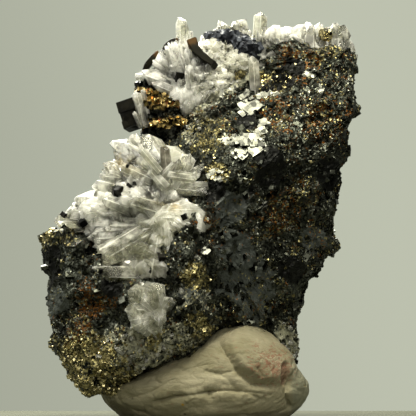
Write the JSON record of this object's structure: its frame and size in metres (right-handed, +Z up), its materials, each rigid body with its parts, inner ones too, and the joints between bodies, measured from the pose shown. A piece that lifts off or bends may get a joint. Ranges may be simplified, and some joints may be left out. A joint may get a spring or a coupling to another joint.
{
  "type": "quartz and pyrite mineral specimen",
  "caption": "Jagged lump of dark sulphide ore with clusters of clear and milky quartz crystals, pyrite and dark curved blades, held upright in a pressed lump of putty with a flat foot.",
  "frame": {"origin": "on the putty's flat foot, about under the middle of the specimen", "axes": "+Z up, -Y towards the viewer of the crystal side, +X to the viewer's right"},
  "size_m": [0.0574, 0.0374, 0.0735],
  "materials": {
    "sulphide": "broken, glittering metallic",
    "quartz": "clear to milky, glassy",
    "galena": "bright cleavage faces",
    "pyrite": "dull gold metallic",
    "dark_pyrite": "tarnished metallic",
    "blade": "dull brown-black",
    "putty": "matt, thumb-smoothed"
  },
  "bodies": {
    "root": {"sulphide_matrix": "sulphide", "quartz_middle": "quartz", "quartz_upper": "quartz", "quartz_top": "quartz", "quartz_lower": "quartz", "galena_cluster": "galena", "pyrite_cluster": "pyrite", "pyrite_block": "dark_pyrite", "pyrite_crystal_upper": "dark_pyrite", "pyrite_crystal_left": "dark_pyrite", "pyrite_crystal_middle": "dark_pyrite", "pyrite_crystal_lower": "dark_pyrite", "pyrite_crystal_top": "pyrite", "pyrite_crystal_centre": "pyrite", "dark_blade_left": "blade", "dark_blade_middle": "blade", "dark_blade_right": "blade", "putty_lump": "putty"}
  },
  "joints": []
}
